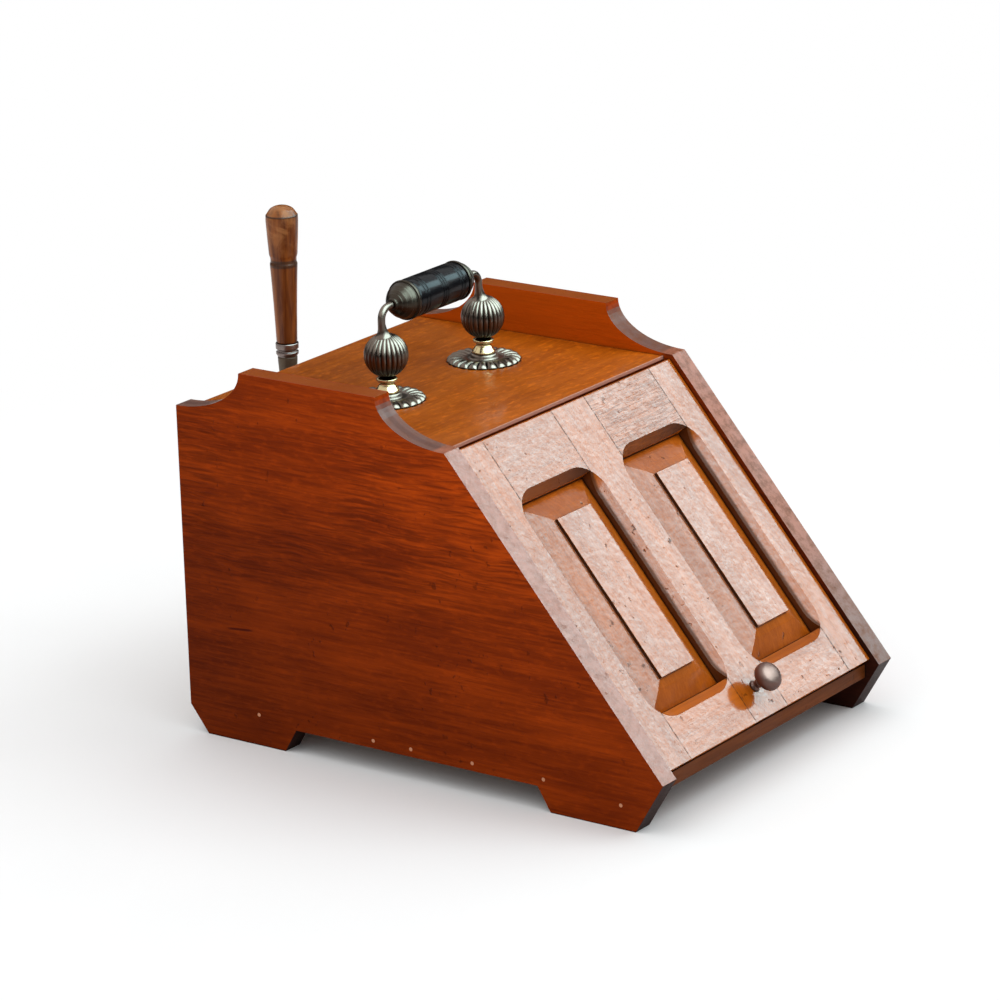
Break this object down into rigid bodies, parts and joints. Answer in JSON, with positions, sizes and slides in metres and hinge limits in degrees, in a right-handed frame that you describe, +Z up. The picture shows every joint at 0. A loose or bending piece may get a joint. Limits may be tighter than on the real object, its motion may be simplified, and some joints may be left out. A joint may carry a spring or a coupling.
{
  "type": "slant-front coal box",
  "caption": "Slant-front wooden coal box with shaped sides, a lifting panelled lid with a knob, a carrying handle on top and a shovel hung at the back.",
  "frame": {"origin": "on the floor, under the middle of the whole object's box", "axes": "+Z up, -Y towards the slanted lid, +Y towards the shovel at the back, X across the box"},
  "size_m": [0.33, 0.4802, 0.391],
  "materials": {
    "oak_side": "varnished deep red-brown oak",
    "oak_deck": "glossy golden-brown varnished oak",
    "oak_back": "plain stained softwood",
    "oak_rail": "dark varnished oak",
    "pine": "plain sawn softwood",
    "oak_lid": "glossy varnished oak, grain up the slope",
    "oak_lid_cross": "glossy varnished oak, grain across",
    "oak_panel": "glossy varnished oak panel",
    "iron": "dull dark iron",
    "pewter": "worn grey metal",
    "bronze": "aged bronze with bright high spots",
    "bronze_dark": "dark aged bronze",
    "brass": "rubbed brass",
    "ebonised_wood": "black polished turned wood",
    "shovel_metal": "dark japanned sheet metal",
    "ferrule_metal": "worn grey metal",
    "haft_wood": "worn turned hardwood",
    "zinc": "dull galvanised sheet"
  },
  "bodies": {
    "root": {"side_left": "oak_side", "side_right": "oak_side", "top_board": "oak_deck", "back_board": "oak_back", "bottom_board": "oak_back", "front_rail": "oak_rail", "lid_stops": "pine", "top_cleats": "pine", "side_nails": "iron", "handle_rosettes": "bronze", "handle_necks": "brass", "handle_balls": "bronze", "handle_arms": "bronze", "handle_studs": "iron", "handle_nuts": "iron", "grip": "ebonised_wood", "grip_caps": "bronze_dark", "grip_rod": "iron", "shovel_bracket": "brass", "bracket_screws": "brass", "liner": "zinc"},
    "lid": {"lid_stile_left": "oak_lid", "lid_stile_right": "oak_lid", "lid_muntin": "oak_lid", "lid_top_rails": "oak_lid_cross", "lid_bottom_rails": "oak_lid_cross", "lid_panel_left": "oak_panel", "lid_panel_right": "oak_panel", "lid_pivot_pins": "iron", "lid_knob": "pewter", "knob_nut": "iron"},
    "shovel": {"shovel_blade": "shovel_metal", "shovel_socket": "shovel_metal", "shovel_rivets": "iron", "shovel_ferrule": "ferrule_metal", "shovel_haft": "haft_wood"}
  },
  "joints": [
    {"name": "lid_pivot", "type": "hinge", "parent": "root", "child": "lid", "pos_m": [0, -0.04613, 0.25954], "axis": [-1, 0, 0], "range_deg": [0, 145]},
    {"name": "shovel_lift", "type": "slide", "parent": "root", "child": "shovel", "axis": [0, 0, 1], "range_m": [0, 0.1]}
  ]
}
